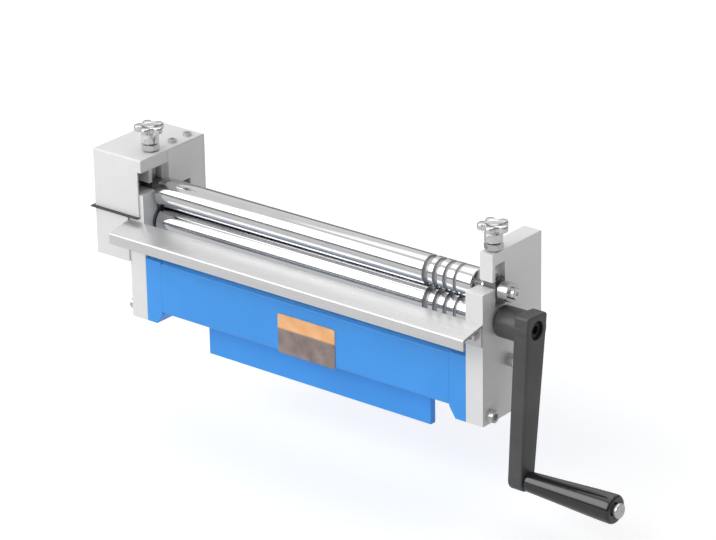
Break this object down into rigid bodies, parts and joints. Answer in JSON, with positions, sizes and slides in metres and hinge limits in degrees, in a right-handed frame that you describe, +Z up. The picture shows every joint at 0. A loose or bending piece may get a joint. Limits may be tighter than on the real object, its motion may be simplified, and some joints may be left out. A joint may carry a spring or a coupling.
{
  "type": "slip roll machine",
  "caption": "Bench slip roll with three geared and adjustable steel rolls between end plates, a feed table, a hand crank and a tab held in a vise.",
  "frame": {"origin": "centre of the front face of the vise tab", "axes": "+X along the rolls towards the crank, +Y from the feed table back to the bending roll, +Z up"},
  "size_m": [0.5085, 0.0995, 0.2094],
  "materials": {
    "plate_steel": "ground and nickel plated, satin",
    "bearing_iron": "machined bearing iron, oiled",
    "blue_paint": "semi-gloss blue enamel",
    "screw_steel": "bright zinc plated",
    "polished_sheet": "polished sheet",
    "cover_sheet": "smooth light grey",
    "knob_chrome": "bright plated casting",
    "roll_chrome": "ground and polished",
    "gear_steel": "cut steel, oiled",
    "dark_steel": "black oxide",
    "crank_iron": "satin dark casting",
    "grip_black": "gloss black"
  },
  "bodies": {
    "frame": {"left_end_plate": "plate_steel", "right_end_plate": "plate_steel", "left_lower_bush": "bearing_iron", "right_lower_bush": "bearing_iron", "base_beam": "blue_paint", "left_beam_foot": "blue_paint", "right_beam_foot": "blue_paint", "vise_tab": "blue_paint", "left_beam_screws": "screw_steel", "right_beam_screws": "screw_steel", "feed_table": "polished_sheet", "table_screws": "screw_steel", "upper_gear_cover": "cover_sheet", "lower_gear_cover": "cover_sheet", "upper_cover_screws": "screw_steel", "lower_cover_screws": "screw_steel"},
    "upper_carriage": {"left_upper_block": "bearing_iron", "right_upper_block": "bearing_iron"},
    "upper_roll": {"upper_roll": "roll_chrome", "upper_roll_gear": "gear_steel", "upper_gear_clip": "dark_steel", "upper_roll_collar": "screw_steel"},
    "left_knob": {"left_pressure_screw": "screw_steel", "left_pressure_knob": "knob_chrome", "left_lock_nut": "screw_steel"},
    "right_knob": {"right_pressure_screw": "screw_steel", "right_pressure_knob": "knob_chrome", "right_lock_nut": "screw_steel"},
    "drive": {"lower_roll": "roll_chrome", "lower_roll_gear": "gear_steel", "lower_gear_clip": "dark_steel", "crank_arm": "crank_iron", "crank_screw": "dark_steel", "grip_axle": "screw_steel"},
    "grip": {"grip": "grip_black"},
    "rear_carriage": {"left_rear_block": "bearing_iron", "right_rear_block": "bearing_iron"},
    "rear_roll": {"rear_roll": "roll_chrome"},
    "left_adjuster": {"left_rear_adjuster": "dark_steel"},
    "right_adjuster": {"right_rear_adjuster": "dark_steel"}
  },
  "joints": [
    {"name": "drive_turn", "type": "hinge", "parent": "frame", "child": "drive", "pos_m": [0, 0.003, 0.0876], "axis": [1, 0, 0], "continuous": true},
    {"name": "grip_spin", "type": "hinge", "parent": "drive", "child": "grip", "pos_m": [0.246, -0.00808, -0.03189], "axis": [1, 0, 0], "continuous": true},
    {"name": "left_knob_turn", "type": "hinge", "parent": "upper_carriage", "child": "left_knob", "pos_m": [-0.17, 0.003, 0], "axis": [0, 0, 1], "range_deg": [-144.5, 432.5]},
    {"name": "right_knob_turn", "type": "hinge", "parent": "upper_carriage", "child": "right_knob", "pos_m": [0.17, 0.003, 0], "axis": [0, 0, 1], "range_deg": [-144.5, 432.5]},
    {"name": "upper_lift", "type": "slide", "parent": "frame", "child": "upper_carriage", "axis": [0, 0, 1], "range_m": [-0.0005, 0.0015]},
    {"name": "upper_spin", "type": "hinge", "parent": "upper_carriage", "child": "upper_roll", "pos_m": [0, 0.003, 0.1122], "axis": [1, 0, 0], "continuous": true},
    {"name": "left_adjuster_turn", "type": "hinge", "parent": "rear_carriage", "child": "left_adjuster", "pos_m": [-0.166, 0.031, 0], "axis": [0, 0, 1], "range_deg": [-1153, 2881]},
    {"name": "right_adjuster_turn", "type": "hinge", "parent": "rear_carriage", "child": "right_adjuster", "pos_m": [0.166, 0.031, 0], "axis": [0, 0, 1], "range_deg": [-1153, 2881]},
    {"name": "rear_lift", "type": "slide", "parent": "frame", "child": "rear_carriage", "axis": [0, 0, 1], "range_m": [-0.004, 0.01]},
    {"name": "rear_spin", "type": "hinge", "parent": "rear_carriage", "child": "rear_roll", "pos_m": [0, 0.031, 0.0934], "axis": [1, 0, 0], "continuous": true}
  ],
  "couplings": [
    {"joint": "upper_spin", "follows": "drive_turn", "ratio": -1},
    {"joint": "left_knob_turn", "follows": "upper_lift", "rad_per_m": 5026.5},
    {"joint": "right_knob_turn", "follows": "upper_lift", "rad_per_m": 5026.5},
    {"joint": "left_adjuster_turn", "follows": "rear_lift", "rad_per_m": 5026.5},
    {"joint": "right_adjuster_turn", "follows": "rear_lift", "rad_per_m": 5026.5}
  ]
}
